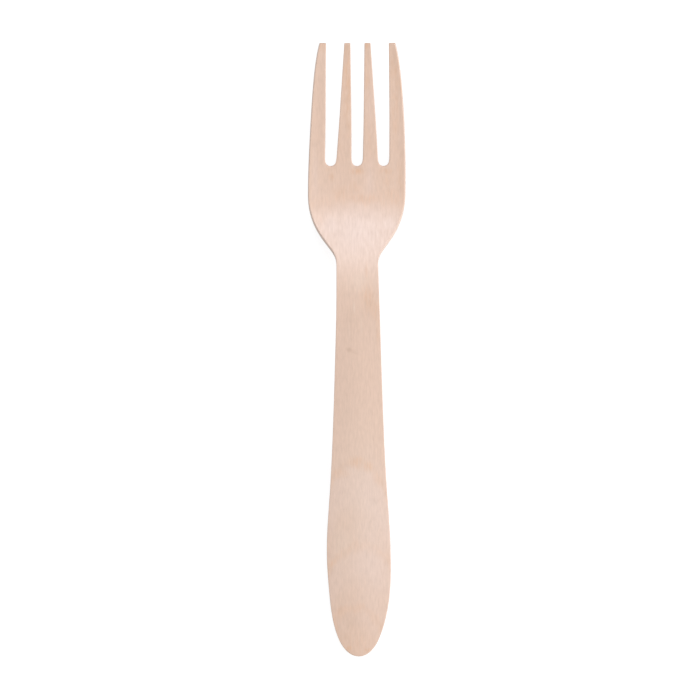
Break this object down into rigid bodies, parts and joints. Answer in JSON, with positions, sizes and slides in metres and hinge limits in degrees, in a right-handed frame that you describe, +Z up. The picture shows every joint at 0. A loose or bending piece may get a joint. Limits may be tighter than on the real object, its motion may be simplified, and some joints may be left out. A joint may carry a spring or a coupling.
{
  "type": "wooden fork",
  "caption": "Pressed wooden table fork with a rounded handle, narrow neck, shallow bowl and straight tapering tines.",
  "frame": {"origin": "on the table, under the middle of the fork's length and width", "axes": "+Y along the fork towards the tips of the tines, +X across it to the right, +Z up from the table"},
  "size_m": [0.0264, 0.165, 0.0099],
  "materials": {
    "birch_veneer": "satin"
  },
  "bodies": {
    "root": {"fork": "birch_veneer"}
  },
  "joints": []
}
